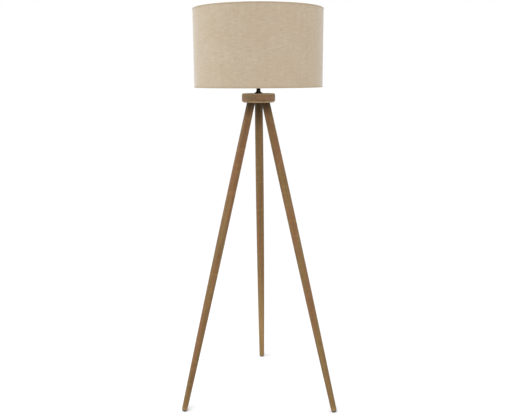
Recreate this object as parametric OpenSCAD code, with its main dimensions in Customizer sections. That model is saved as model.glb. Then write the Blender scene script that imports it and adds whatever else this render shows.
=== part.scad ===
// Tripod floor lamp: a drum shade on a harp, over a round hub that stands on three turned legs.
// Z is up and Y points to the back. The origin is on the floor, under the lamp's axis.
// All lengths are in millimetres and all angles in degrees.

/* [Lamp] */
// Height of the whole lamp, from the floor to the shade's top edge
lamp_h = 1500; // [1450:5:1560]
// Sides of a drawn circle
smooth = 64; // [48:16:96]

/* [Shade] */
// Outer diameter of the drum shade
shade_d = 474; // [430:2:520]
// Height of the drum shade
shade_h = 279; // [272:1:290]
// Thickness of the linen
cloth_t = 0.8; // [0.6:0.1:1]
// Thickness of the stiff liner behind the linen
liner_t = 0.5; // [0.4:0.1:0.8]
// Wire diameter of the two rings
ring_wire_d = 4; // [3.6:0.2:5]
// Wire diameter of the spider's arms
arm_wire_d = 3.2; // [2.6:0.2:3.4]
// Depth of the fitter washer's upper face below the shade's top edge
fitter_drop = 24.2; // [23:0.2:30]

/* [Hub] */
// Diameter of the wooden hub
hub_d = 124; // [120:1:140]
// Thickness of the wooden hub
hub_h = 33; // [32:1:40]
// Rounding of the hub's lower edge
hub_round_low = 9; // [6:0.5:12]
// Rounding of the hub's upper edge
hub_round_high = 5; // [2:0.5:8]

/* [Legs] */
// Radius of the circle on which the feet stand
foot_circle_r = 333; // [300:1:360]
// Radius of the circle on which the legs leave the hub's underside
leg_circle_r = 31.4; // [31:0.2:33]
// Largest radius of a leg, a third of the way down
leg_max_r = 16; // [15:0.1:16]
// Loss of leg radius for each leg length away from the thickest place, squared
leg_taper = 11; // [8:0.5:12]
// Place of the thickest point, as a share of the leg's length
leg_belly = 0.3; // [0.2:0.05:0.4]
// Depth of the leg's end in its angled socket
leg_seat = 8; // [6:0.5:9]

/* [Neck] */
// Clear height between the hub and the shade
neck_gap = 22; // [18:1:26]
// Diameter of the neck tube
neck_d = 15; // [14:0.5:17]
// Diameter of the flared cup at the neck's foot
cup_d = 30; // [24:1:34]

/* [Harp] */
// Width between the harp's wire centres
harp_w = 109; // [104:1:114]
// Wire diameter of the harp
harp_wire_d = 3.6; // [3:0.2:3.8]
// Travel of a sleeve when it is lifted to free the harp
sleeve_lift = 13; // [12.5:0.5:14]

/* [Bulb] */
// Diameter of the bulb's globe
bulb_d = 60; // [50:1:62]

/* [Hidden] */
$fn = smooth;

// Gap between a fixed piece and the hole that it sits in
seat_gap = 0.05;
// Gap between pieces that move past each other
free_gap = 0.3;
// Extra length of a cutting shape past the face that it cuts
past = 1;

// Heights of the main faces, from the floor
shade_bottom = lamp_h - shade_h;
hub_top = shade_bottom - neck_gap;
hub_bottom = hub_top - hub_h;

// Legs: a leg's own Z axis runs down it, from 0 where it leaves the hub's underside
LEFT = 210;
RIGHT = 330;
BACK = 90;
LEG_AZIMUTHS = [LEFT, RIGHT, BACK];
splay = atan((foot_circle_r - leg_circle_r) / hub_bottom);
leg_len = hub_bottom / cos(splay);
leg_steps = 24;
leg_edge_r = 1.5;
leg_wood_end = leg_len - 6.5;
leg_socket_r = 15.3;
insert_r = 6;
insert_len = 13;
stud_r = 4;
stud_root_r = 3.6;
stud_in_leg = 22;
nail_r = 1.25;
nail_len = 14;
nail_head_r = 3;
nail_head_t = 1;
nail_head_depth = 2;
glide_r = 9.4;
glide_dome_r = 16;
glide_dome_up = 15;

// Lamp pipe and what is threaded on it
pipe_r = 5;
pipe_bore_r = 3.5;
pipe_recess = 1.8;
nut_flats = 16;
nut_t = 4;
washer_r = 10.5;
washer_t = 1.5;
counterbore_r = 12.5;
counterbore_depth = 10;
bush_bore_r = 2.9;
bush_flange_t = 1.2;
bush_spigot_h = 10.8;
cup_h = 10;
cup_rim_h = 3;
saddle_z = hub_top + 33;
saddle_t = 2;
saddle_w = 12;
saddle_bend_r = 10;
saddle_arm_h = 18;
saddle_half_w = 32;
tab_t = 1.2;
tab_w = 4;
tab_h = 12;

// Harp
harp_foot_x = 28.5;
harp_r = harp_wire_d / 2;
harp_foot_z = saddle_z + saddle_arm_h + 1;
sleeve_z = saddle_z + saddle_arm_h + free_gap;
sleeve_r = 5;
sleeve_bore_r = 4;
sleeve_neck_r = harp_r + 0.08;
sleeve_bore_h = tab_h + 0.3;
sleeve_h = 15;
sleeve_stop_gap = 1.7;
harp_bend_z = sleeve_z + sleeve_h + sleeve_lift + sleeve_stop_gap;
harp_bend = acos(0.8);
harp_bend_r = 20;
harp_top_r = 46;
harp_slant = (harp_w / 2 - harp_foot_x - 2 * harp_bend_r * (1 - cos(harp_bend))) / sin(harp_bend);
harp_side_z = harp_bend_z + 2 * harp_bend_r * sin(harp_bend) + harp_slant * cos(harp_bend);
fitter_t = 2;
fitter_z = lamp_h - fitter_drop - fitter_t;
seat_top = fitter_z - free_gap;
seat_flange_r = 9;
seat_flange_t = 2;
seat_r = 5;
seat_h = 10.5;
harp_top_z = seat_top - 6.5;
stud_top = seat_top + 12.5;
harp_stud_r = 3.1;

// Socket
cap_z = saddle_z + saddle_t;
cap_r = 18;
cap_t = 0.8;
cap_stub_r = 8;
cap_stub_h = 12;
cap_round_z = 24;
cap_rim_z = 26;
shell_r = cap_r - cap_t - 0.1;
shell_t = 0.6;
shell_z = cap_z + 23;
shell_top = cap_z + 70;
liner_r = shell_r - shell_t - 0.1;
paper_t = 0.8;
base_z = cap_z + 20;
base_r = 12;
base_h = 18;
base_top = base_z + base_h;
shaft_z = cap_z + 31;
shaft_r = 2;
shaft_hole_r = 3.3;
rotor_r = 5;
rotor_t = 5;
rotor_y = -2;
rotor_pocket_y = -1.5;
knob_r = 5.5;
knob_len = 14;
knob_y = -21;
knob_flutes = 12;
brass_bore_r = 13.35;
brass_t = 0.4;
brass_h = 25;
screw_z = base_z + 9;
set_screw_z = cap_z + 4;

// Bulb
bulb_z = base_top + 2.4;
bulb_contact_r = 4.5;
bulb_contact_t = 1.6;
bulb_insulator_h = 3;
bulb_cap_z = bulb_z + bulb_contact_t + bulb_insulator_h;
bulb_cap_r = 13;
bulb_cap_h = 21;
bulb_thread_pitch = 3.5;
bulb_thread_depth = 0.8;
bulb_cap_t = 0.5;
globe_z = bulb_cap_z + bulb_cap_h;
globe_r = bulb_d / 2;
globe_t = 0.8;
globe_neck_h = 32;
globe_neck_steps = 24;
globe_tangent = 35;
globe_step = 2.5;

// Finial
finial_z = lamp_h - fitter_drop + free_gap;
finial_base_r = 8;
finial_base_t = 2.5;
finial_neck_r = 4.5;
finial_ball_r = 6.5;
finial_ball_z = 13.8;
finial_bore_r = harp_stud_r + 0.08;
finial_bore_h = 11;

// Shade
shade_r = shade_d / 2;
cloth_in = shade_r - cloth_t;
liner_in = cloth_in - liner_t;
ring_r = ring_wire_d / 2;
ring_path_r = liner_in - ring_r;
ring_inset = cloth_t + ring_r;
arm_r = arm_wire_d / 2;
arm_bend_r = 8;
arm_z = fitter_z + fitter_t / 2;
ARM_AZIMUTHS = [30, 150, 270];
fitter_r = 13;
fitter_hole_r = 5.55;
hem_drop = 1.2;

// ---- Shapes that are used more than once ----

// A straight round tube that stands on the plane z = 0
module tube(r_out, r_in, h) {
    difference() {
        cylinder(r = r_out, h = h);
        translate([0, 0, -past]) cylinder(r = r_in, h = h + 2 * past);
    }
}

// Places its children on a leg's own axis, which runs down from the hub's underside to the floor
module on_leg(azimuth) {
    rotate([0, 0, azimuth])
        translate([leg_circle_r, 0, hub_bottom])
            rotate([0, 180 - splay, 0]) children();
}

// A straight piece of round wire up the Z axis, with its children placed at its end
module wire_run(length, wire_r) {
    cylinder(r = wire_r, h = length);
    translate([0, 0, length]) children();
}

// A bend of up to 90 degrees that turns a wire from +Z towards +X, or towards -X where the
// angle is negative. Its children are placed at its end, with their Z axis along the wire.
module wire_bend(angle, bend_r, wire_r) {
    side = sign(angle);
    reach = 2 * bend_r;
    translate([side * bend_r, 0, 0]) {
        difference() {
            rotate([90, 0, 0]) rotate([0, 0, side > 0 ? 90 : 0])
                rotate_extrude(angle = 90) translate([bend_r, 0]) circle(r = wire_r);
            rotate([0, angle, 0]) translate([-reach, -reach, 0]) cube(2 * reach);
        }
        rotate([0, angle, 0]) translate([-side * bend_r, 0, 0]) children();
    }
}

// Turns its children so that their Z axis points to the front, along -Y
module to_front(y, z) {
    translate([0, y, z]) rotate([90, 0, 0]) children();
}

// ---- Hub ----

module hub_profile() {
    low = hub_round_low;
    high = hub_round_high;
    r = hub_d / 2;
    square([r - low, hub_h]);
    translate([0, low]) square([r - high, hub_h - low]);
    translate([0, low]) square([r, hub_h - low - high]);
    translate([r - low, low]) circle(r = low);
    translate([r - high, hub_h - high]) circle(r = high);
}

module leg_socket(azimuth) {
    on_leg(azimuth) {
        translate([0, 0, -leg_seat]) cylinder(r = leg_socket_r, h = leg_seat + hub_round_low);
        translate([0, 0, -leg_seat - insert_len]) cylinder(r = insert_r + seat_gap, h = insert_len + past);
    }
}

module hub_disc() {
    color("#8f7354") difference() {
        translate([0, 0, hub_bottom]) rotate_extrude() hub_profile();
        translate([0, 0, hub_bottom - past]) cylinder(r = pipe_r + seat_gap, h = hub_h + 2 * past);
        translate([0, 0, hub_bottom - past]) cylinder(r = counterbore_r, h = counterbore_depth + past);
        for (azimuth = LEG_AZIMUTHS) leg_socket(azimuth);
    }
}

// ---- Legs ----

function leg_radius(s) = leg_max_r - leg_taper * pow(s / leg_len - leg_belly, 2);

// Outline of a leg with its stud hole at the top and its nail hole at the foot
module leg_profile() {
    body_end = leg_wood_end - leg_edge_r;
    end_r = leg_radius(leg_wood_end) - leg_edge_r;
    stud_hole_end = stud_in_leg + 2 - leg_seat;
    nail_hole_start = leg_wood_end - nail_len - 1;
    polygon(concat(
        [[stud_root_r + seat_gap, -leg_seat]],
        [for (i = [0 : leg_steps])
            let (s = -leg_seat + (body_end + leg_seat) * i / leg_steps) [leg_radius(s), s]],
        [for (a = [30 : 30 : 90]) [end_r + leg_edge_r * cos(a), body_end + leg_edge_r * sin(a)]],
        [[nail_r + seat_gap, leg_wood_end], [nail_r + seat_gap, nail_hole_start], [0, nail_hole_start]],
        [[0, stud_hole_end], [stud_root_r + seat_gap, stud_hole_end]]
    ));
}

module leg(azimuth) {
    color("#8a6d4b") on_leg(azimuth) rotate_extrude() leg_profile();
}

module leg_left() { leg(LEFT); }
module leg_right() { leg(RIGHT); }
module leg_back() { leg(BACK); }

module leg_inserts() {
    color("goldenrod") for (azimuth = LEG_AZIMUTHS)
        on_leg(azimuth) translate([0, 0, -leg_seat - insert_len])
            tube(insert_r, stud_r + seat_gap, insert_len - seat_gap);
}

// Hanger bolts: a machine thread in the insert and a wood screw in the leg
module leg_studs() {
    tip = 4;
    top = -leg_seat - insert_len + 0.5;
    color("silver") for (azimuth = LEG_AZIMUTHS) on_leg(azimuth) rotate_extrude() polygon([
        [0, top], [stud_r - 0.5, top], [stud_r, top + 0.5], [stud_r, -leg_seat],
        [stud_root_r, -leg_seat], [stud_root_r, stud_in_leg - leg_seat - tip],
        [0, stud_in_leg - leg_seat]
    ]);
}

// ---- Foot glides ----

module glide_nail() {
    head_top = leg_wood_end + nail_head_depth;
    translate([0, 0, leg_wood_end - nail_len]) cylinder(r = nail_r, h = nail_len + nail_head_depth);
    translate([0, 0, head_top]) cylinder(r = nail_head_r, h = nail_head_t);
}

// A domed rubber glide whose sole is cut flat where it stands on the floor
module foot_glide(azimuth) {
    dome_centre = (hub_bottom - glide_dome_up) / cos(splay);
    sole = 2 * foot_circle_r + 100;
    color("#4a4a4d") intersection() {
        on_leg(azimuth) difference() {
            intersection() {
                translate([0, 0, leg_wood_end]) cylinder(r = glide_r, h = 20);
                translate([0, 0, dome_centre]) sphere(r = glide_dome_r);
            }
            glide_nail();
        }
        translate([-sole / 2, -sole / 2, 0]) cube([sole, sole, 50]);
    }
}

module foot_glide_left() { foot_glide(LEFT); }
module foot_glide_right() { foot_glide(RIGHT); }
module foot_glide_back() { foot_glide(BACK); }

module glide_nails() {
    color("silver") for (azimuth = LEG_AZIMUTHS) on_leg(azimuth) glide_nail();
}

// ---- Lamp pipe and neck ----

pipe_z = hub_bottom + pipe_recess;
washer_z = hub_bottom + counterbore_depth - washer_t;

module lamp_pipe() {
    color("darkgoldenrod") translate([0, 0, pipe_z])
        tube(pipe_r, pipe_bore_r, cap_z + cap_stub_h - pipe_z);
}

module pipe_washer() {
    color("silver") translate([0, 0, washer_z]) tube(washer_r, pipe_r + seat_gap, washer_t);
}

module pipe_nut() {
    color("silver") translate([0, 0, washer_z - nut_t]) difference() {
        cylinder(r = nut_flats / 2 / cos(30), h = nut_t, $fn = 6);
        translate([0, 0, -past]) cylinder(r = pipe_r + seat_gap, h = nut_t + 2 * past);
    }
}

// A plastic bush that keeps the cord off the pipe's edge
module cord_bush() {
    color("#202020") translate([0, 0, pipe_z - bush_flange_t]) rotate_extrude() difference() {
        union() {
            square([pipe_r, bush_flange_t]);
            square([pipe_bore_r - seat_gap, bush_flange_t + bush_spigot_h]);
        }
        translate([0, -past]) square([bush_bore_r, bush_flange_t + bush_spigot_h + 2 * past]);
    }
}

module neck_cup() {
    flare_r = cup_h - cup_rim_h;
    color("#18120e") translate([0, 0, hub_top]) rotate_extrude() difference() {
        square([cup_d / 2, cup_h]);
        translate([cup_d / 2, cup_h]) circle(r = flare_r);
        translate([0, -past]) square([pipe_r + seat_gap, cup_h + 2 * past]);
    }
}

module neck_tube() {
    color("#18120e") translate([0, 0, hub_top + cup_h])
        tube(neck_d / 2, pipe_r + seat_gap, saddle_z - hub_top - cup_h);
}

// ---- Harp ----

// One half of the saddle's strap, seen from the front
module saddle_profile() {
    bend_x = saddle_half_w - saddle_bend_r;
    square([bend_x, saddle_t]);
    translate([bend_x, saddle_bend_r]) intersection() {
        difference() {
            circle(r = saddle_bend_r);
            circle(r = saddle_bend_r - saddle_t);
        }
        translate([0, -saddle_bend_r]) square(saddle_bend_r);
    }
    translate([saddle_half_w - saddle_t, saddle_bend_r]) square([saddle_t, saddle_arm_h - saddle_bend_r]);
}

module saddle_half() {
    tab_x = saddle_half_w - (saddle_t + tab_t) / 2;
    translate([0, saddle_w / 2, 0]) rotate([90, 0, 0]) linear_extrude(height = saddle_w) saddle_profile();
    translate([tab_x, -tab_w / 2, saddle_arm_h]) cube([tab_t, tab_w, tab_h]);
}

module harp_saddle() {
    color("#2a2624") translate([0, 0, saddle_z]) difference() {
        union() {
            saddle_half();
            mirror([1, 0, 0]) saddle_half();
        }
        translate([0, 0, -past]) cylinder(r = pipe_r + seat_gap, h = saddle_t + 2 * past);
    }
}

// One half of the harp, from the middle of its top, round the shoulder and down to the foot
module harp_half() {
    translate([0, 0, harp_top_z]) rotate([0, 90, 0])
        wire_run(harp_w / 2 - harp_top_r, harp_r)
        wire_bend(90, harp_top_r, harp_r)
        wire_run(harp_top_z - harp_top_r - harp_side_z, harp_r)
        wire_bend(harp_bend, harp_bend_r, harp_r)
        wire_run(harp_slant, harp_r)
        wire_bend(-harp_bend, harp_bend_r, harp_r)
        wire_run(harp_bend_z - harp_foot_z, harp_r);
}

module harp_wire() {
    color("#2a2624") {
        harp_half();
        mirror([1, 0, 0]) harp_half();
    }
}

// The turned seat at the harp's top, with the stud that carries the shade and the finial
module harp_seat() {
    color("#2a2624") difference() {
        translate([0, 0, seat_top - seat_h]) rotate_extrude() union() {
            square([seat_r, seat_h]);
            translate([0, seat_h - seat_flange_t]) square([seat_flange_r, seat_flange_t]);
            square([harp_stud_r, stud_top - seat_top + seat_h]);
        }
        translate([-seat_r - past, 0, harp_top_z]) rotate([0, 90, 0])
            cylinder(r = harp_r + seat_gap, h = 2 * (seat_r + past));
    }
}

module harp_sleeve(x) {
    shoulder = 1.5;
    color("#2a2624") translate([x, 0, sleeve_z]) rotate_extrude() polygon([
        [sleeve_bore_r, 0], [sleeve_r, 0], [sleeve_r, sleeve_h - shoulder],
        [sleeve_r - shoulder, sleeve_h], [sleeve_neck_r, sleeve_h],
        [sleeve_neck_r, sleeve_bore_h], [sleeve_bore_r, sleeve_bore_h]
    ]);
}

module harp_sleeve_left() { harp_sleeve(-harp_foot_x); }
module harp_sleeve_right() { harp_sleeve(harp_foot_x); }

// ---- Socket ----

module socket_cap() {
    stub_hole = [pipe_r + seat_gap, cap_stub_h + 2 * past];
    set_screw_hole_r = 1.5 + seat_gap;
    color("#18120e") translate([0, 0, cap_z]) difference() {
        rotate_extrude() difference() {
            union() {
                square([cap_stub_r, cap_stub_h]);
                difference() {
                    intersection() {
                        translate([0, cap_round_z]) circle(r = cap_r);
                        square([cap_r, cap_round_z]);
                    }
                    translate([0, cap_round_z]) circle(r = cap_r - cap_t);
                }
                translate([cap_r - cap_t, cap_round_z]) square([cap_t, cap_rim_z - cap_round_z]);
            }
            translate([0, -past]) square(stub_hole);
        }
        translate([0, 0, set_screw_z - cap_z]) rotate([-90, 0, 0])
            cylinder(r = set_screw_hole_r, h = cap_stub_r + past);
    }
}

module cap_set_screw() {
    slot_w = 0.6;
    end = cap_stub_r + 1;
    color("silver") translate([0, 0, set_screw_z]) difference() {
        rotate([-90, 0, 0]) translate([0, 0, pipe_r + seat_gap]) cylinder(r = 1.5, h = end - pipe_r);
        translate([-2, end - 0.5, -slot_w / 2]) cube([4, 2, slot_w]);
    }
}

module socket_shell() {
    bead_r = 0.8;
    color("#18120e") difference() {
        union() {
            translate([0, 0, shell_z]) tube(shell_r, shell_r - shell_t, shell_top - shell_z);
            translate([0, 0, shell_top - 2 * bead_r]) rotate_extrude() difference() {
                translate([shell_r - 0.1, bead_r]) circle(r = bead_r);
                square([shell_r - shell_t, 2 * bead_r]);
            }
        }
        to_front(-base_r, shaft_z) cylinder(r = shaft_hole_r, h = shell_r);
    }
}

module socket_liner() {
    color("#b59a6a") difference() {
        translate([0, 0, base_z - past]) tube(liner_r, liner_r - paper_t, shell_top - base_z);
        to_front(-base_r, shaft_z) cylinder(r = shaft_hole_r, h = shell_r);
    }
}

// A phenolic block that holds the switch and the contacts
module socket_base() {
    foot_r = liner_r - paper_t - 0.1;
    color("#3a2a20") difference() {
        union() {
            translate([0, 0, base_z]) cylinder(r = base_r, h = base_h);
            translate([0, 0, base_top - 2]) cylinder(r = foot_r, h = 2);
        }
        to_front(rotor_pocket_y, shaft_z) cylinder(r = rotor_r + free_gap, h = base_r);
        for (side = [-1, 1]) translate([side * base_r, 0, screw_z]) rotate([0, -90 * side, 0])
            cylinder(r = 1.7 + seat_gap, h = 6);
    }
}

module socket_screw_shell() {
    color("gold") translate([0, 0, base_top]) rotate_extrude() difference() {
        square([brass_bore_r + brass_t, brass_h]);
        translate([0, brass_t]) square([brass_bore_r, brass_h]);
        translate([0, -past]) square([8, brass_h]);
    }
}

// A springy tongue that meets the bulb's centre contact
module socket_contact() {
    width = 5;
    t = 0.4;
    color("gold") translate([0, width / 2, base_top]) rotate([90, 0, 0]) linear_extrude(height = width)
        polygon([[-7, 0], [-3, 0], [1, 1.6], [4, 1.6], [4, 1.6 + t], [0.9, 1.6 + t], [-3.1, t], [-7, t]]);
}

module terminal_screws() {
    color("goldenrod") for (side = [-1, 1]) translate([side * base_r, 0, screw_z])
        rotate([0, 90 * side, 0]) difference() {
            union() {
                translate([0, 0, -5.5]) cylinder(r = 1.7, h = 5.5);
                cylinder(r = 3.4, h = 1.8);
            }
            translate([-0.4, -4, 1]) cube([0.8, 8, 2]);
        }
}

// ---- Switch ----

module switch_rotor() {
    color("ivory") to_front(rotor_y, shaft_z) tube(rotor_r, shaft_r, rotor_t);
}

module switch_shaft() {
    color("silver") to_front(rotor_y, shaft_z) cylinder(r = shaft_r, h = rotor_y - knob_y + knob_len - 3);
}

module switch_knob() {
    flute_r = 0.9;
    flat_end = knob_len - 1.5;
    color("#18120e") to_front(knob_y, shaft_z) difference() {
        rotate_extrude() polygon([
            [0, 0], [knob_r - 1, 0], [knob_r, 1], [knob_r, flat_end], [knob_r - 1.5, knob_len], [0, knob_len]
        ]);
        translate([0, 0, -past]) cylinder(r = shaft_r, h = knob_len - 3 + past);
        for (i = [0 : knob_flutes - 1]) rotate([0, 0, 360 * i / knob_flutes])
            translate([knob_r + 0.3, 0, 3]) cylinder(r = flute_r, h = knob_len, $fn = 48);
    }
}

// ---- Bulb ----

module bulb_contact() {
    color("silver") translate([0, 0, bulb_z]) cylinder(r = bulb_contact_r, h = bulb_contact_t);
}

module bulb_insulator() {
    color("#202020") translate([0, 0, bulb_z + bulb_contact_t])
        cylinder(r1 = bulb_contact_r + 1, r2 = bulb_cap_r - 1.5, h = bulb_insulator_h);
}

function thread_radius(h) = bulb_cap_r - bulb_thread_depth / 2 * (1 - cos(360 * h / bulb_thread_pitch));

module bulb_screw_shell() {
    steps = 48;
    in_r = bulb_cap_r - bulb_thread_depth - bulb_cap_t;
    color("silver") translate([0, 0, bulb_cap_z]) rotate_extrude() polygon(concat(
        [[0, 0]],
        [for (i = [0 : steps]) let (h = bulb_cap_h * i / steps) [thread_radius(h), h]],
        [[in_r, bulb_cap_h], [in_r, bulb_cap_t], [0, bulb_cap_t]]
    ));
}

// Radius of the globe's neck at a share of its height: a cubic from the cap to the ball
function neck_radius(u, wall) =
    let (start = bulb_cap_r - wall, end = (globe_r - wall) * cos(globe_tangent))
    let (slope = tan(globe_tangent) * globe_neck_h)
    start + (3 * (end - start) - slope) * pow(u, 2) + (slope - 2 * (end - start)) * pow(u, 3);

function globe_outline(wall) =
    let (centre = globe_neck_h + (globe_r - wall) * sin(globe_tangent))
    concat(
        [for (i = [0 : globe_neck_steps])
            let (u = i / globe_neck_steps) [neck_radius(u, wall), globe_neck_h * u]],
        [for (a = [-globe_tangent + globe_step : globe_step : 90])
            [(globe_r - wall) * cos(a), centre + (globe_r - wall) * sin(a)]]
    );

module bulb_globe() {
    color("whitesmoke") translate([0, 0, globe_z]) rotate_extrude() difference() {
        polygon(concat([[0, 0]], globe_outline(0)));
        translate([0, -0.01]) polygon(concat([[0, 0]], globe_outline(globe_t)));
    }
}

// ---- Finial ----

module finial() {
    color("#2a2624") translate([0, 0, finial_z]) rotate_extrude() difference() {
        union() {
            square([finial_base_r, finial_base_t]);
            square([finial_neck_r, finial_ball_z]);
            intersection() {
                translate([0, finial_ball_z]) circle(r = finial_ball_r);
                square([finial_ball_r, finial_ball_z + finial_ball_r]);
            }
        }
        translate([0, -past]) square([finial_bore_r, finial_bore_h + past]);
    }
}

// ---- Shade ----

module shade_fitter() {
    color("silver") translate([0, 0, fitter_z]) tube(fitter_r, fitter_hole_r, fitter_t);
}

// Three wires from the fitter's rim, each bent up at the liner to meet the top ring from below
module shade_arms() {
    ring_z = lamp_h - ring_inset;
    start = fitter_r - 2;
    color("silver") for (azimuth = ARM_AZIMUTHS) rotate([0, 0, azimuth]) difference() {
        translate([start, 0, arm_z]) rotate([0, 90, 0])
            wire_run(ring_path_r - arm_bend_r - start, arm_r)
            wire_bend(-90, arm_bend_r, arm_r)
            wire_run(ring_z - arm_z - arm_bend_r, arm_r);
        cylinder(r = fitter_r, h = lamp_h);
        translate([0, 0, ring_z]) rotate_extrude() translate([ring_path_r, 0]) circle(r = ring_r);
    }
}

module shade_ring(z) {
    color("silver") translate([0, 0, z]) rotate_extrude() translate([ring_path_r, 0]) circle(r = ring_r);
}

module shade_top_ring() { shade_ring(lamp_h - ring_inset); }
module shade_bottom_ring() { shade_ring(shade_bottom + ring_inset); }

module shade_liner() {
    color("white") translate([0, 0, shade_bottom + cloth_t]) tube(cloth_in, liner_in, shade_h - 2 * cloth_t);
}

module shade_cloth() {
    color("#c3b598") translate([0, 0, shade_bottom]) tube(shade_r, cloth_in, shade_h);
}

// Section of a hem that passes over the liner's edge and down the inner side of the ring
module hem_profile() {
    difference() {
        union() {
            intersection() {
                circle(r = ring_inset);
                translate([-ring_inset, -hem_drop]) square([ring_inset, ring_inset + hem_drop]);
            }
            translate([0, ring_r]) square([cloth_in - ring_path_r, cloth_t]);
        }
        circle(r = ring_r);
    }
}

module shade_top_hem() {
    color("#b3a488") translate([0, 0, lamp_h - ring_inset])
        rotate_extrude() translate([ring_path_r, 0]) hem_profile();
}

module shade_bottom_hem() {
    color("#b3a488") translate([0, 0, shade_bottom + ring_inset]) mirror([0, 0, 1])
        rotate_extrude() translate([ring_path_r, 0]) hem_profile();
}

hub_disc();
leg_left();
leg_right();
leg_back();
leg_inserts();
leg_studs();
foot_glide_left();
foot_glide_right();
foot_glide_back();
glide_nails();
lamp_pipe();
pipe_nut();
pipe_washer();
cord_bush();
neck_cup();
neck_tube();
harp_saddle();
harp_wire();
harp_seat();
harp_sleeve_left();
harp_sleeve_right();
socket_cap();
cap_set_screw();
socket_shell();
socket_liner();
socket_base();
socket_screw_shell();
socket_contact();
terminal_screws();
switch_rotor();
switch_shaft();
switch_knob();
bulb_contact();
bulb_insulator();
bulb_screw_shell();
bulb_globe();
finial();
shade_fitter();
shade_arms();
shade_top_ring();
shade_bottom_ring();
shade_liner();
shade_cloth();
shade_top_hem();
shade_bottom_hem();
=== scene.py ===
"""The looks of the tripod floor lamp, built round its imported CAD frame."""

import math
from itertools import pairwise

import bmesh
import bpy
import numpy as np
from mathutils import Matrix, Vector, noise


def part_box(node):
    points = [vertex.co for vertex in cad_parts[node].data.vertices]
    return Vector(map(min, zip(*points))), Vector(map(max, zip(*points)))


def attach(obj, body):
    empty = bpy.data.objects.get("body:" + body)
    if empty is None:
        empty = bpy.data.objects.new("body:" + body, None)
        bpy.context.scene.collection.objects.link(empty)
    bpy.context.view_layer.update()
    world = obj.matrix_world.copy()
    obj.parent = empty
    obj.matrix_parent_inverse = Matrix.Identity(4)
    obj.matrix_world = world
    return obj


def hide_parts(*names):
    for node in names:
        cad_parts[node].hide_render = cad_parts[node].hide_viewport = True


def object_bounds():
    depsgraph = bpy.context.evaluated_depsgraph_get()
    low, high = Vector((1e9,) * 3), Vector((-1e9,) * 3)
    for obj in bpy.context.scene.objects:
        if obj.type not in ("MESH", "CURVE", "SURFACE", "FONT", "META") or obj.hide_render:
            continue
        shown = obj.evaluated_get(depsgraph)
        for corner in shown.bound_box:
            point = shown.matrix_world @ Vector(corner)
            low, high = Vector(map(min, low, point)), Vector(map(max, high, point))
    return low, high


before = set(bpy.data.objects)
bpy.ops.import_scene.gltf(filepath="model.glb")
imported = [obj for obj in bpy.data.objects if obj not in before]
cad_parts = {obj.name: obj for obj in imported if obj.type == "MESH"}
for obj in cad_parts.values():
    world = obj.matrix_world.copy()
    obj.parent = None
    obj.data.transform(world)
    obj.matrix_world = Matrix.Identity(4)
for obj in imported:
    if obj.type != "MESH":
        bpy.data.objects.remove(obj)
cad_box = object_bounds()

MM = 0.001

# ---- Node trees ----


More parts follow.
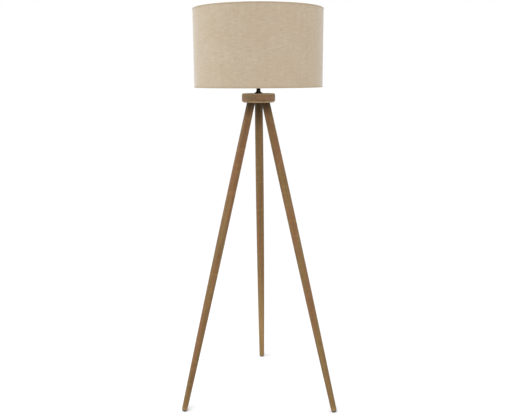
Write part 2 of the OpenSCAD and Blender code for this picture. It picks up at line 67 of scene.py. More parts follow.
class Shader:
    """One material's node tree. Each call adds a node and gives its output socket."""

    def __init__(self, name):
        self.material = bpy.data.materials.new(name)
        self.material.use_nodes = True
        self.tree = self.material.node_tree
        self.surface = self.tree.nodes["Principled BSDF"]

    def put(self, socket, value):
        """Links a socket to another one, or sets its own value."""
        if isinstance(value, bpy.types.NodeSocket):
            self.tree.links.new(value, socket)
        elif isinstance(value, tuple) and len(value) == 3 and socket.type == "RGBA":
            socket.default_value = (*value, 1.0)
        else:
            socket.default_value = value

    def node(self, kind, inputs, output=0, **settings):
        made = self.tree.nodes.new(kind)
        for name, value in settings.items():
            setattr(made, name, value)
        for key, value in inputs.items():
            self.put(made.inputs[key], value)
        return made.outputs[output]

    def place(self):
        """The point in the lamp's own frame at rest, in metres."""
        return self.node("ShaderNodeTexCoord", {}, "Object")

    def along_strip(self):
        """(distance along a wound strip, distance across it), in metres."""
        u, v, _ = self.split(self.node("ShaderNodeUVMap", {}, uv_map=STRIP_MAP))
        return u, v

    def math(self, operation, a, b=0.0, c=0.0):
        return self.node("ShaderNodeMath", {0: a, 1: b, 2: c}, operation=operation)

    def add(self, a, b):
        return self.math("ADD", a, b)

    def times(self, a, b):
        return self.math("MULTIPLY", a, b)

    def length(self, a, b):
        """The length of a vector (a, b)."""
        return self.math("SQRT", self.math("MULTIPLY_ADD", a, a, self.times(b, b)))

    def split(self, vector):
        """A vector's three coordinates, each as its own socket."""
        node = self.tree.nodes.new("ShaderNodeSeparateXYZ")
        self.put(node.inputs[0], vector)
        return node.outputs[0], node.outputs[1], node.outputs[2]

    def join(self, x, y):
        """A vector (x, y, 0)."""
        return self.node("ShaderNodeCombineXYZ", {0: x, 1: y})

    def scaled(self, vector, scale):
        return self.node("ShaderNodeVectorMath", {0: vector, 1: scale}, operation="MULTIPLY")

    def noise(self, vector, scale=1.0, detail=2.0, roughness=0.5):
        """Noise from 0 to 1, with about scale waves to each metre of its vector."""
        inputs = {"Vector": vector, "Scale": scale, "Detail": detail, "Roughness": roughness}
        return self.node("ShaderNodeTexNoise", inputs)

    def stretched_noise(self, vector, scale, seed, **settings):
        """Noise with its own number of waves to a metre along each axis, shifted by a seed."""
        inputs = {0: vector, 1: scale, 2: (seed, seed, seed)}
        moved = self.node("ShaderNodeVectorMath", inputs, operation="MULTIPLY_ADD")
        return self.noise(moved, **settings)

    def ramp(self, value, low, high, to_low=0.0, to_high=1.0):
        """Maps low..high to to_low..to_high, smoothly and clamped."""
        inputs = {"Value": value, "From Min": low, "From Max": high, "To Min": to_low, "To Max": to_high}
        return self.node("ShaderNodeMapRange", inputs, interpolation_type="SMOOTHSTEP")

    def mix(self, share, a, b):
        return self.node("ShaderNodeMix", {0: share, 6: a, 7: b}, 2, data_type="RGBA")

    def blend(self, colour, value, low, high, share, tint):
        """Mixes a tint into a colour, from none where a value is low to a share where it is high."""
        return self.mix(self.ramp(value, low, high, 0.0, share), colour, tint)

    def plain_weave(self, u, v, thread, wander):
        """Height of a plain weave: 1 on the crown of the thread that is on top, and 0 in the gaps."""
        pitch = math.pi / thread
        across_warp = self.math("SINE", self.math("MULTIPLY_ADD", u, pitch, wander))
        across_weft = self.math("SINE", self.math("MULTIPLY_ADD", v, pitch, wander))
        on_top = self.times(across_warp, across_weft)
        weft_crown = self.math("SQRT", self.math("ABSOLUTE", across_weft))
        warp_crown = self.math("SQRT", self.math("ABSOLUTE", across_warp))
        weft = self.times(weft_crown, self.math("MULTIPLY_ADD", on_top, 0.5, 0.5))
        warp = self.times(warp_crown, self.math("MULTIPLY_ADD", on_top, -0.5, 0.5))
        return self.math("MAXIMUM", weft, warp)

    def bump(self, height, distance, strength, under=None):
        inputs = {"Height": height, "Distance": distance, "Strength": strength}
        if under is not None:
            inputs["Normal"] = under
        return self.node("ShaderNodeBump", inputs)

    def done(self, **values):
        """Sets the surface's sockets, whose names are written with _ for a space."""
        for name, value in values.items():
            self.put(self.surface.inputs[name.replace("_", " ")], value)
        return self.material


def tinted(colour, red, green, blue):
    """A colour with each of its channels scaled."""
    return colour[0] * red, colour[1] * green, colour[2] * blue


# ---- Materials ----

# Name of the UV map that gives metres along and across a wound strip
STRIP_MAP = "along_strip"


def linen(name, light, dark, thread=0.62 * MM, sheen=0.8):
    """Slubby plain-weave linen on a wound strip: weft runs round the shade, and warp up it."""
    s = Shader(name)
    u, v = s.along_strip()
    cloth = s.join(u, v)
    weft_slub = s.stretched_noise(cloth, (30.0, 520.0, 1.0), seed=0.0, detail=3.0, roughness=0.65)
    warp_slub = s.stretched_noise(cloth, (520.0, 24.0, 1.0), seed=7.0, detail=3.0, roughness=0.65)
    dark_weft = s.stretched_noise(cloth, (38.0, 400.0, 1.0), seed=21.0)
    pale_weft = s.stretched_noise(cloth, (32.0, 430.0, 1.0), seed=45.0)
    warp_band = s.stretched_noise(cloth, (85.0, 5.0, 1.0), seed=33.0, detail=3.0, roughness=0.6)
    weft_line = s.stretched_noise(cloth, (70.0, 1600.0, 1.0), seed=3.0)
    warp_line = s.stretched_noise(cloth, (1600.0, 70.0, 1.0), seed=11.0)
    cloud = s.stretched_noise(cloth, (9.0, 13.0, 1.0), seed=5.0, detail=3.0)
    thread_wander = s.times(s.noise(cloth, 240.0), 1.1)
    crossing = s.plain_weave(u, v, thread, thread_wander)
    lines = s.add(s.times(weft_line, 0.5), s.times(warp_line, 0.5))
    slubs = s.add(s.times(weft_slub, 0.6), s.times(warp_slub, 0.4))
    tone = s.add(s.times(slubs, 0.6), s.times(lines, 0.4))
    colour = s.mix(s.ramp(tone, 0.36, 0.64), dark, light)
    colour = s.blend(colour, cloud, 0.35, 0.7, 0.25, tinted(dark, 1.02, 0.98, 0.9))
    colour = s.blend(colour, warp_band, 0.5, 0.72, 0.18, tinted(light, 1.06, 1.08, 1.1))
    colour = s.blend(colour, dark_weft, 0.59, 0.7, 0.55, tinted(dark, 0.8, 0.78, 0.74))
    colour = s.blend(colour, pale_weft, 0.59, 0.7, 0.55, tinted(light, 1.1, 1.12, 1.14))
    colour = s.blend(colour, weft_slub, 0.68, 0.8, 0.4, tinted(dark, 0.68, 0.68, 0.7))
    colour = s.blend(colour, warp_slub, 0.66, 0.78, 0.35, tinted(light, 1.14, 1.16, 1.22))
    gaps = s.ramp(crossing, 0.15, 0.6, 0.55, 0.0)
    colour = s.mix(gaps, colour, tinted(dark, 0.45, 0.43, 0.4))
    threads = s.bump(crossing, 0.16 * MM, 0.8)
    lumps = s.bump(s.add(slubs, s.times(dark_weft, 0.5)), 0.55 * MM, 0.55, threads)
    return s.done(
        Base_Color=colour,
        Roughness=s.ramp(tone, 0.3, 0.7, 0.95, 0.84),
        Normal=lumps,
        Sheen_Weight=sheen,
        Sheen_Roughness=0.3,
        Specular_IOR_Level=0.15,
    )


def grain_place(s, origin, along):
    """Metres from a point on a piece's axis, with z along the grain."""
    turn = Vector(along).to_track_quat("Z", "Y").to_euler()
    inputs = {"Vector": s.place(), "Location": tuple(origin), "Rotation": tuple(turn)}
    return s.node("ShaderNodeMapping", inputs, vector_type="TEXTURE")


def late_wood_share(s, local, pith, seed):
    """Rises to 1 at the end of each growth ring, round a pith that is off the piece's axis."""
    ring_gap = 3.4 * MM
    gaps_of_wander = 3.2
    x, y, _ = s.split(local)
    wander = s.stretched_noise(local, (16.0, 16.0, 2.6), seed=seed)
    from_pith = s.length(s.add(x, pith[0]), s.add(y, pith[1]))
    gaps_out = s.math("MULTIPLY_ADD", wander, gaps_of_wander, s.times(from_pith, 1.0 / ring_gap))
    ring = s.math("FRACT", gaps_out)
    return s.times(s.ramp(ring, 0.35, 0.96), s.ramp(ring, 0.96, 1.0, 1.0, 0.0))


def wood(name, origin, along, colours, seed, paling, painted_shade=None, pith=(0.031, 0.012)):
    """Oiled hardwood whose grain runs along one direction from a point on the piece's axis.

    colours are the light, dark and red tones. The two share functions give a 0 to 1 share: one pales the
    wood as wear and painted light, the other darkens it as painted shade.
    """
    light, dark, red = colours
    s = Shader(name)
    local = grain_place(s, origin, along)
    late_wood = late_wood_share(s, local, pith, seed)
    fibre = s.stretched_noise(local, (900.0, 900.0, 13.0), seed=seed, detail=3.0, roughness=0.6)
    streak = s.stretched_noise(local, (190.0, 190.0, 3.6), seed=seed + 2.0, detail=3.0, roughness=0.55)
    pore = s.stretched_noise(local, (1700.0, 1700.0, 90.0), seed=seed + 4.0, detail=1.0)
    red_patch = s.stretched_noise(local, (42.0, 42.0, 6.5), seed=seed + 9.0)
    dark_patch = s.stretched_noise(local, (60.0, 60.0, 9.0), seed=seed + 17.0)
    figure = s.stretched_noise(local, (20.0, 20.0, 60.0), seed=seed + 13.0)
    tone = s.add(s.times(fibre, 0.35), s.times(streak, 0.65))
    colour = s.mix(s.ramp(tone, 0.36, 0.64), dark, light)
    colour = s.blend(colour, red_patch, 0.44, 0.6, 0.75, red)
    colour = s.blend(colour, dark_patch, 0.54, 0.68, 0.45, dark)
    colour = s.mix(s.times(late_wood, 0.4), colour, tinted(dark, 0.72, 0.66, 0.6))
    colour = s.blend(colour, figure, 0.5, 0.72, 0.3, tinted(light, 1.2, 1.18, 1.12))
    open_pore = s.ramp(pore, 0.6, 0.72, 0.0, 0.6)
    colour = s.mix(open_pore, colour, tinted(dark, 0.34, 0.3, 0.28))
    # Paler wood where a share says so: wear, and painted light and highlights where the callers paint them.
    rubbed_and_lit = s.times(paling(s), s.ramp(streak, 0.35, 0.6, 0.35, 1.0))
    colour = s.mix(s.times(rubbed_and_lit, 0.8), colour, tinted(light, 1.35, 1.4, 1.5))
    # Painted shade: darker wood where a share says the piece lies in shadow.
    if painted_shade is not None:
        colour = s.mix(s.times(painted_shade(s), 0.9), colour, tinted(dark, 0.24, 0.23, 0.1))
    rings = s.bump(late_wood, 0.05 * MM, 0.4)
    height = s.math("SUBTRACT", s.times(fibre, 0.5), s.times(open_pore, 0.9))
    return s.done(
        Base_Color=colour,
        Roughness=s.ramp(tone, 0.3, 0.7, 0.66, 0.5),
        Normal=s.bump(height, 0.14 * MM, 0.6, rings),
        Specular_IOR_Level=0.2,
    )


def lacquered_metal(name, base, paling, rough=0.38, glint=(1.0, 1.0, 1.0)):
    """Dark baked lacquer with a faint orange peel and thin worn freckles. glint tints its reflections."""
    s = Shader(name)
    place = s.place()
    peel = s.noise(place, 900.0)
    cloud = s.noise(place, 60.0, detail=3.0)
    freckle = s.noise(place, 420.0, detail=3.0, roughness=0.7)
    tone = s.mix(s.ramp(cloud, 0.3, 0.7), base, tinted(base, 1.9, 1.7, 1.5))
    rub = s.times(s.ramp(freckle, 0.64, 0.74), s.ramp(cloud, 0.4, 0.6, 0.15, 0.7))
    return s.done(
        Base_Color=s.mix(rub, tone, paling),
        Metallic=s.times(rub, 0.8),
        Roughness=s.ramp(cloud, 0.3, 0.7, rough - 0.06, rough + 0.12),
        Normal=s.bump(peel, 0.03 * MM, 0.5),
        Specular_IOR_Level=0.15,
        Specular_Tint=glint,
    )


def bare_metal(name, base, film_tint, rough=0.3):
    """Plated or bare metal with fine turning marks and a dull film in places."""
    s = Shader(name)
    place = s.place()
    marks = s.noise(s.scaled(place, (300.0, 300.0, 9000.0)))
    film = s.noise(place, 180.0, detail=3.0)
    scratch = s.noise(s.scaled(place, (1500.0, 200.0, 700.0)), detail=3.0, roughness=0.7)
    colour = s.mix(s.ramp(film, 0.35, 0.7), base, film_tint)
    colour = s.blend(colour, scratch, 0.6, 0.75, 0.35, tinted(film_tint, 0.6, 0.58, 0.55))
    dullness = s.ramp(film, 0.3, 0.7, rough - 0.08, rough + 0.12)
    return s.done(
        Base_Color=colour,
        Metallic=1.0,
        Roughness=s.math("MULTIPLY_ADD", marks, 0.1, dullness),
        Normal=s.bump(s.add(marks, s.times(scratch, 0.6)), 0.015 * MM, 0.6),
    )


def plastic(name, base, rough, grain=0.02, dust=0.06, scuff=0.1):
    """Moulded plastic or rubber with a fine grain, in mm, pale scuffs, and patches of thin dust."""
    scuff_grey, dust_grey = (0.42, 0.40, 0.37), (0.55, 0.52, 0.48)
    s = Shader(name)
    place = s.place()
    grains = s.noise(place, 1600.0)
    cloud = s.noise(place, 40.0, detail=3.0)
    scuffs = s.noise(s.scaled(place, (900.0, 900.0, 260.0)), detail=3.0, roughness=0.7)
    colour = s.mix(s.ramp(grains, 0.3, 0.7), tinted(base, 0.86, 0.86, 0.86), base)
    colour = s.blend(colour, scuffs, 0.6, 0.74, scuff, scuff_grey)
    colour = s.blend(colour, cloud, 0.4, 0.75, dust, dust_grey)
    return s.done(
        Base_Color=colour,
        Roughness=s.ramp(cloud, 0.3, 0.7, rough - 0.05, rough + 0.07),
        Normal=s.bump(grains, grain * MM, 0.5),
    )


def shade_lining(name):
    """The white laminate inside the shade: a matte film that the cloth's weave shows through."""
    s = Shader(name)
    place = s.place()
    x, y, z = s.split(place)
    turn = s.math("ARCTAN2", x, y)
    cloth = s.join(s.times(turn, SHADE_R), z)
    print_through = s.noise(s.scaled(cloth, (420.0, 420.0, 1.0)), detail=3.0, roughness=0.7)
    tooth = s.noise(place, 1200.0)
    cloud = s.noise(place, 11.0, detail=3.0)
    colour = s.mix(s.ramp(cloud, 0.3, 0.7), (0.765, 0.74, 0.685), (0.79, 0.77, 0.72))
    colour = s.blend(colour, print_through, 0.4, 0.66, 0.16, (0.68, 0.64, 0.56))
    height = s.add(s.times(tooth, 0.3), print_through)
    return s.done(
        Base_Color=colour,
        Roughness=s.ramp(cloud, 0.3, 0.7, 0.62, 0.72),
        Normal=s.bump(height, 0.06 * MM, 0.5),
        Specular_IOR_Level=0.35,
    )


def white_enamel(name):
    """Powder-coated wire: white, slightly pebbled, yellowed in places, and chipped."""
    s = Shader(name)
    place = s.place()
    pebbles = s.noise(place, 1100.0)
    cloud = s.noise(place, 50.0)
    chips = s.noise(place, 260.0, detail=3.0, roughness=0.7)
    colour = s.mix(s.ramp(cloud, 0.35, 0.7), (0.76, 0.75, 0.72), (0.69, 0.67, 0.62))
    colour = s.blend(colour, chips, 0.7, 0.76, 0.6, (0.35, 0.32, 0.28))
    return s.done(
        Base_Color=colour,
        Roughness=s.ramp(cloud, 0.3, 0.7, 0.34, 0.46),
        Normal=s.bump(pebbles, 0.05 * MM, 0.4),
    )


def frosted_bulb(name, base_z, height):
    """White-coated glass: a glossy coat over soft white, which is a little greyer towards the cap."""
    grey_height = height * 0.45
    s = Shader(name)
    place = s.place()
    _, _, z = s.split(place)
    up = s.ramp(z, base_z, base_z + grey_height)
    powder = s.noise(place, 300.0, detail=3.0)
    colour = s.mix(up, (0.62, 0.61, 0.58), (0.84, 0.835, 0.81))
    colour = s.blend(colour, powder, 0.3, 0.7, 0.08, (0.68, 0.67, 0.64))
    return s.done(
        Base_Color=colour,
        Roughness=s.ramp(powder, 0.3, 0.7, 0.34, 0.42),
        Coat_Weight=1.0,
        Coat_Roughness=0.12,
    )


def floor_paper(name):
    """A pale studio floor of matte paper."""
    s = Shader(name)
    cloud = s.noise(s.place(), 1.5)
    colour = s.mix(s.ramp(cloud, 0.3, 0.7), (0.925, 0.925, 0.925), (0.935, 0.935, 0.935))
    return s.done(Base_Color=colour, Roughness=0.9, Specular_IOR_Level=0.0)


def dress(material, *nodes):
    """Gives CAD nodes their material."""
    for node in nodes:
        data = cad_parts[node].data
        data.materials.clear()
        data.materials.append(material)


# ---- Measures taken from the CAD frame ----


def radius_of(node):
    """The radius of a round piece on the lamp's axis."""
    low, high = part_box(node)
    return (high.x - low.x) / 2


def axis_of(node):
    """(a point on a turned piece's axis, the downward direction of that axis)"""
    points = np.array([v.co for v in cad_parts[node].data.vertices], float)
    middle = points.mean(0)
    along = np.linalg.svd(points - middle, full_matrices=False)[2][0]
    if along[2] > 0:
        along = -along
    return Vector(middle), Vector(along)


SHADE_R = radius_of("shade_cloth")
LINER_R = radius_of("shade_liner")
SHADE_LOW, SHADE_HIGH = (corner.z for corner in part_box("shade_cloth"))
RING_LOW, RING_HIGH = (corner.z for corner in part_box("shade_top_ring"))
RING_WIRE_R = (RING_HIGH - RING_LOW) / 2
RING_R = radius_of("shade_top_ring") - RING_WIRE_R
RING_INSET = SHADE_HIGH - (RING_LOW + RING_HIGH) / 2

# ---- The linen cover and its rim tapes ----

CLOTH_T = 0.6 * MM
TAPE_T = 0.45 * MM
# Steps along each strip, and the angle round the lamp where it starts and ends
COLUMNS = 432
BACK = math.pi / 2


def smooth_step(t):
    """0 up to t = 0, 1 from t = 1, and a smooth rise between them."""
    t = max(0.0, min(1.0, t))
    return t * t * (3 - 2 * t)


def path_normals(points):
    """The left-hand normal of a path of (radius, height) points at each of them."""
    tangent = np.gradient(points, axis=0)
    tangent /= np.linalg.norm(tangent, axis=1)[:, None]
    return np.stack([tangent[:, 1], -tangent[:, 0]], axis=1)


def add_object(name, mesh, material):
    """Puts a finished bmesh in the scene as an object of its own."""
    data = bpy.data.meshes.new(name)
    mesh.to_mesh(data)
    mesh.free()
    data.materials.append(material)
    made = bpy.data.objects.new(name, data)
    bpy.context.scene.collection.objects.link(made)
    return made


def strip_section(points, normals, thickness, lift, ripple, turn):
    """A loop of points round a strip's outer and inner faces, at one angle round the lamp."""
    waves_round, waves_up = 3, 12
    outer, inner = [], []
    for point, normal in zip(points, normals, strict=True):
        where = (waves_round * math.cos(turn), waves_round * math.sin(turn), waves_up * point[1])
        rise = lift + ripple * noise.noise(where)
        outer.append(point + normal * rise)
        inner.append(point + normal * (rise - thickness))
    return [(r * math.cos(turn), r * math.sin(turn), z) for r, z in outer + inner[::-1]]


def skin_strip(mesh, uv_layer, columns, heights):
    """Faces between a strip's columns and at its ends, with UVs in metres along and across it."""
    count = len(heights)
    for (along_a, here), (along_b, there) in pairwise(columns):
        for i in range(count):
            j = (i + 1) % count
            face = mesh.faces.new((here[i], there[i], there[j], here[j]))
            corners = ((along_a, i), (along_b, i), (along_b, j), (along_a, j))
            for loop, (along, k) in zip(face.loops, corners, strict=True):
                loop[uv_layer].uv = (along, heights[k])
            face.smooth = True
    mesh.faces.new(columns[0][1])
    mesh.faces.new(columns[-1][1][::-1])
    bmesh.ops.recalc_face_normals(mesh, faces=mesh.faces)


def wound_strip(name, path, thickness, lap, ripple, material):
    """Cloth wound once round the lamp's axis, lapped over its own start at the back.

    path is the outer face's (radius, height) points, and the cloth lies on its right-hand side.
    Gives the piece and its (length, height) when it is laid flat.
    """
    points = np.array(path)
    normals = path_normals(points)
    steps = np.linalg.norm(np.diff(points, axis=0), axis=1)
    across = np.concatenate([[0.0], np.cumsum(steps)])
    once_round = 2 * math.pi * SHADE_R
    length = once_round + lap
    mesh = bmesh.new()
    uv_layer = mesh.loops.layers.uv.new(STRIP_MAP)
    columns = []
    for column in range(COLUMNS + 1):
        along = length * column / COLUMNS
        turn = along / SHADE_R + BACK
        lift = thickness * smooth_step((along - once_round + lap) / lap)
        section = strip_section(points, normals, thickness, lift, ripple, turn)
        columns.append((along, [mesh.verts.new(point) for point in section]))
    skin_strip(mesh, uv_layer, columns, np.concatenate([across, across[::-1]]))
    piece = add_object(name, mesh, material)
    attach(piece, "shade")
    return piece, (length, float(across[-1]))


def arc(middle, radius, start, end, steps):
    """Points on an arc, with angles in degrees."""
    angles = [math.radians(start + (end - start) * i / steps) for i in range(steps + 1)]
    return [(middle[0] + radius * math.cos(a), middle[1] + radius * math.sin(a)) for a in angles]


def cover_path():
    """The cover's outer face, from its lower edge to its upper one, turned in over the rings."""
    room_for_ripples = 0.25 * MM
    face = SHADE_R - room_for_ripples
    low, high = SHADE_LOW + TAPE_T, SHADE_HIGH - TAPE_T
    turn_r, turn_by, turn_steps = 1.6 * MM, 80, 5
    wall_low, wall_high = low + 6 * MM, high - 6 * MM
    levels = 26
    lower = arc((face - turn_r, low + turn_r), turn_r, -turn_by, 0, turn_steps)
    wall = [(face, wall_low + (wall_high - wall_low) * i / levels) for i in range(levels + 1)]
    upper = arc((face - turn_r, high - turn_r), turn_r, 0, turn_by, turn_steps)
    return [*lower, (face, low + 3.5 * MM), *wall, (face, high - 3.5 * MM), *upper]


def tape_path():
    """The top tape's outer face, about the ring's centre: up the wall, over the ring and in under it."""
    wall = SHADE_R - RING_R + 0.15 * MM
    lining = LINER_R - RING_R - 0.5 * MM
    top = RING_INSET
    corner = 1.7 * MM
    up_the_wall = [(wall - 0.1 * MM, -2.4 * MM), (wall, -2.0 * MM), (wall, -0.9 * MM)]
    over_the_ring = [
        *arc((wall - corner, top - corner), corner, 0, 90, 6),
        *arc((0.0, 0.0), top, 90, 180, 9)[1:],
        (-top, -0.8 * MM),
    ]
    under_the_ring = [
        (-0.8 * top, -1.9 * MM),
        (-0.4 * top, -2.8 * MM),
        (0.15 * lining, -3.5 * MM),
        (0.6 * lining, -4.3 * MM),
    ]
    down_the_lining = [
        (lining - 0.5 * MM, -5.3 * MM),
        (lining - 0.45 * MM, -6.5 * MM),
        (lining - 0.45 * MM, -8.0 * MM),
    ]
    return up_the_wall + over_the_ring + under_the_ring + down_the_lining


def placed_tape(at_top):
    """The tape's path round the upper ring, or its mirror image round the lower one."""
    if at_top:
        middle = SHADE_HIGH - RING_INSET
        return [(RING_R + x, middle + z) for x, z in tape_path()]
    middle = SHADE_LOW + RING_INSET
    return [(RING_R + x, middle - z) for x, z in reversed(tape_path())]


def add_cloth():
    """The cover and its two rim tapes, in place of the CAD cloth and hems, which are hidden."""
    cover_linen = linen("shade_linen", light=(0.508, 0.42, 0.316), dark=(0.412, 0.328, 0.234))
    tape_colours = {"light": (0.46, 0.375, 0.262), "dark": (0.37, 0.292, 0.196)}
    tape_linen = linen("hem_linen", **tape_colours, thread=0.55 * MM, sheen=0.5)
    cover_fit = {"thickness": CLOTH_T, "lap": 12 * MM, "ripple": 0.16 * MM}
    tape_fit = {"thickness": TAPE_T, "lap": 9 * MM, "ripple": 0.1 * MM}
    cover, cut = wound_strip("linen_cover", cover_path(), material=cover_linen, **cover_fit)
    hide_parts("shade_cloth")
    for end, at_top in (("top", True), ("bottom", False)):
        path = placed_tape(at_top)
        tape, _ = wound_strip(f"{end}_rim_tape", path, material=tape_linen, **tape_fit)
        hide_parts(f"shade_{end}_hem")


add_cloth()

# ---- Materials of the CAD nodes ----

HUB_LOW, HUB_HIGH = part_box("hub_disc")


def hub_edge_wear_and_highlight_share(s):
    """1 on the hub's two rounded edges, where the wood is paled as wear and as a painted highlight."""
    x, y, z = s.split(s.place())
    rim = radius_of("hub_disc")
    middle = (HUB_LOW.z + HUB_HIGH.z) / 2
    face = (HUB_HIGH.z - HUB_LOW.z) / 2
    off_middle = s.math("ABSOLUTE", s.add(z, -middle))
    near_rim = s.ramp(s.length(x, y), rim - 9 * MM, rim - 3 * MM)
    near_face = s.ramp(off_middle, face - 7 * MM, face - 1.5 * MM)
    return s.times(near_face, near_rim)


def leg_top_painted_shade(reach):
    """1 where a leg meets the hub, fading out over a reach below it: where painted shade darkens the leg.
    """

    def share(s):
        _, _, z = s.split(s.place())
        return s.ramp(z, HUB_LOW.z - reach, HUB_LOW.z - 2 * MM)

    return share


def foot_wear_and_light_share(reach):
    """1 at a leg's foot, fading out over a reach above it: wear where it gets kicked over a short reach,
    and painted light over a long one.
    """

    def share(s):
        _, _, z = s.split(s.place())
        ground = cad_box[0].z
        return s.ramp(z, ground + 8 * MM, ground + reach, 1.0, 0.0)

    return share


def dress_lacquered_pieces():
    bronze = lacquered_metal(
        "dark_bronze", base=(0.0045, 0.0032, 0.0022), paling=(0.11, 0.07, 0.04), glint=(0.9, 0.62, 0.42)
    )
    dress(bronze, "neck_cup", "neck_tube", "finial")
    dress(bronze, "harp_saddle", "harp_wire", "harp_seat", "harp_sleeve_left", "harp_sleeve_right")
    black = lacquered_metal(
        "socket_black", base=(0.009, 0.008, 0.007), paling=(0.10, 0.085, 0.07), rough=0.32
    )
    dress(black, "socket_cap", "socket_shell")


def dress_bare_metal_pieces():
    zinc = bare_metal("zinc_plate", base=(0.62, 0.61, 0.58), film_tint=(0.50, 0.49, 0.44))
    dress(zinc, "lamp_pipe", "pipe_nut", "pipe_washer", "cap_set_screw", "switch_shaft")
    dress(zinc, "leg_studs", "glide_nails")
    brass = bare_metal("brass", base=(0.78, 0.57, 0.25), film_tint=(0.60, 0.42, 0.17), rough=0.26)
    dress(brass, "leg_inserts", "socket_screw_shell", "socket_contact", "terminal_screws")
    nickel = bare_metal("bulb_cap_metal", base=(0.80, 0.79, 0.76), film_tint=(0.66, 0.65, 0.62), rough=0.22)
    dress(nickel, "bulb_screw_shell")
    solder = bare_metal("solder", base=(0.55, 0.55, 0.54), film_tint=(0.40, 0.40, 0.39), rough=0.42)
    dress(solder, "bulb_contact")


def dress_moulded_pieces():
    rubber = plastic("glide_rubber", (0.045, 0.045, 0.048), rough=0.78, grain=0.05, dust=0.1)
    dress(rubber, "foot_glide_left", "foot_glide_right", "foot_glide_back")
    dress(plastic("black_plastic", (0.016, 0.014, 0.013), rough=0.42), "cord_bush", "switch_knob")
    dress(plastic("phenolic", (0.050, 0.030, 0.020), rough=0.5), "socket_base")
    dress(plastic("pressboard", (0.42, 0.31, 0.18), rough=0.85, grain=0.06), "socket_liner")
    dress(plastic("ivory_plastic", (0.70, 0.65, 0.53), rough=0.45), "switch_rotor")
    glass = plastic("black_glass", (0.02, 0.02, 0.024), rough=0.12, grain=0.0, dust=0.02, scuff=0.02)
    dress(glass, "bulb_insulator")


def dress_white_pieces():
    globe_low, globe_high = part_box("bulb_globe")
    dress(frosted_bulb("frosted_bulb", globe_low.z, globe_high.z - globe_low.z), "bulb_globe")
    enamel = white_enamel("white_enamel")
    dress(enamel, "shade_fitter", "shade_arms", "shade_top_ring", "shade_bottom_ring")
    dress(shade_lining("shade_lining"), "shade_liner")


def dress_hub():
    middle = (HUB_LOW + HUB_HIGH) / 2
    grain = (0.94, 0.34, 0.0)
    colours = (0.29, 0.193, 0.1), (0.13, 0.082, 0.038), (0.27, 0.145, 0.08)
    # The hub's rounded edges are paled as wear and as a painted highlight.
    hub_wood = wood(
        "hub_wood", middle, grain, colours, seed=3.0, paling=hub_edge_wear_and_highlight_share, pith=(0.004, 0.09)
    )
    dress(hub_wood, "hub_disc")


def dress_leg(side, painted_shade_reach, wear_and_light_reach, seed):
    """One leg, darkened as painted shade below the hub, and paled above the foot: wear on a short reach,
    painted light on a long one.
    """
    point, down = axis_of(f"leg_{side}")
    colours = (0.23, 0.138, 0.052), (0.148, 0.086, 0.031), (0.21, 0.095, 0.042)
    paling, painted_shade = foot_wear_and_light_share(wear_and_light_reach), leg_top_painted_shade(painted_shade_reach)
    leg_wood = wood(f"leg_wood_{side}", point, down, colours, seed=seed, paling=paling, painted_shade=painted_shade)
    dress(leg_wood, f"leg_{side}")


dress_lacquered_pieces()
dress_bare_metal_pieces()
dress_moulded_pieces()
dress_white_pieces()
dress_hub()
# Painted shade darkens each leg's top under the hub, further on the back leg. The back leg's long paling up
# from its foot is painted light, and the front legs' short paling is wear.
dress_leg("left", painted_shade_reach=60 * MM, wear_and_light_reach=26 * MM, seed=0.0)
dress_leg("right", painted_shade_reach=60 * MM, wear_and_light_reach=26 * MM, seed=17.0)
dress_leg("back", painted_shade_reach=130 * MM, wear_and_light_reach=750 * MM, seed=34.0)

# ---- Stage ----


def add_floor():
    """A floor so wide that its edge is lost in the white, a hair below the feet."""
    half_width = 150
    gap = 0.2 * MM
    mesh = bmesh.new()
    bmesh.ops.create_grid(mesh, x_segments=1, y_segments=1, size=half_width)
    floor = add_object("floor", mesh, floor_paper("floor_paper"))
    floor.location.z = cad_box[0].z - gap


def add_light(name, kind, place, target, power, **settings):
    lamp = bpy.data.lights.new(name, kind)
    lamp.energy = power
    for key, value in settings.items():
        setattr(lamp, key, value)
    light = bpy.data.objects.new(name, lamp)
    light.location = place
    light.rotation_euler = (Vector(target) - Vector(place)).to_track_quat("-Z", "Y").to_euler()
    bpy.context.scene.collection.objects.link(light)


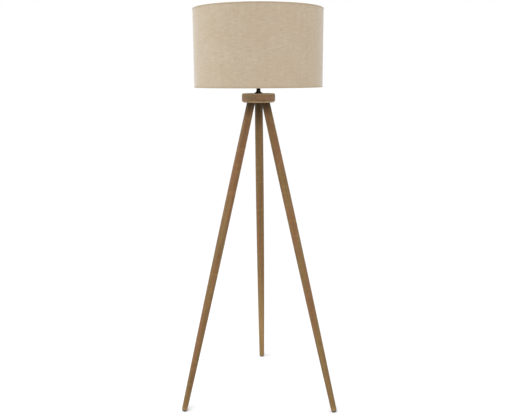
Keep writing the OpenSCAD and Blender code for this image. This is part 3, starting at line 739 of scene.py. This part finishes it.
def add_lights():
    """A broad soft light high in front, and a soft box at each side of the shade."""
    lamp_middle, shade_middle = (0.0, 0.0, 1.0), (0.0, 0.0, 1.3)
    cool_white = (0.78, 0.9, 1.0)
    add_light(
        "window", kind="SUN", place=(-1.6, -3.0, 4.4), target=lamp_middle, power=1.4, angle=math.radians(50)
    )
    soft_box = {"kind": "AREA", "target": shade_middle, "shape": "DISK", "size": 1.2}
    add_light("left_box", place=(-2.3, -0.1, 1.5), power=17.5, color=cool_white, **soft_box)
    add_light("right_box", place=(2.4, -1.1, 1.6), power=15, **soft_box)


def add_world(lighting, seen):
    """An even pale studio, with its own brightness where the camera looks past the floor."""
    world = bpy.data.worlds.new("studio")
    world.use_nodes = True
    tree = world.node_tree
    background = tree.nodes["Background"]
    background.inputs["Color"].default_value = (1.0, 1.0, 1.0, 1.0)
    rays = tree.nodes.new("ShaderNodeLightPath")
    strength = tree.nodes.new("ShaderNodeMapRange")
    tree.links.new(rays.outputs["Is Camera Ray"], strength.inputs["Value"])
    strength.inputs["To Min"].default_value = lighting
    strength.inputs["To Max"].default_value = seen
    tree.links.new(strength.outputs[0], background.inputs["Strength"])
    bpy.context.scene.world = world


def add_camera():
    """Eye level with the shade's lower part, in front and a touch to the right."""
    distance, height, side = 2.402, 1.257, 0.013
    orbit, pitch, roll = math.radians(1.2), math.radians(11.78), math.radians(0.26)
    ahead = Vector((0.0, math.cos(pitch), -math.sin(pitch)))
    right = Vector((1.0, 0.0, 0.0))
    up = right.cross(ahead)
    rolled_right = math.cos(roll) * right - math.sin(roll) * up
    rolled_up = math.cos(roll) * up + math.sin(roll) * right
    turn = Matrix((rolled_right, rolled_up, -ahead)).transposed().to_4x4()
    orbit_turn = Matrix.Rotation(orbit, 4, "Z")
    data = bpy.data.cameras.new("camera")
    data.lens = 43.6
    data.sensor_width = 36.0
    data.clip_end = 400.0
    camera = bpy.data.objects.new("camera", data)
    camera.matrix_world = orbit_turn @ Matrix.Translation((side, -distance, height)) @ turn
    bpy.context.scene.collection.objects.link(camera)
    bpy.context.scene.camera = camera


add_floor()
add_world(lighting=0.78, seen=1.0)
add_lights()
add_camera()
bpy.context.scene.view_settings.view_transform = "Standard"
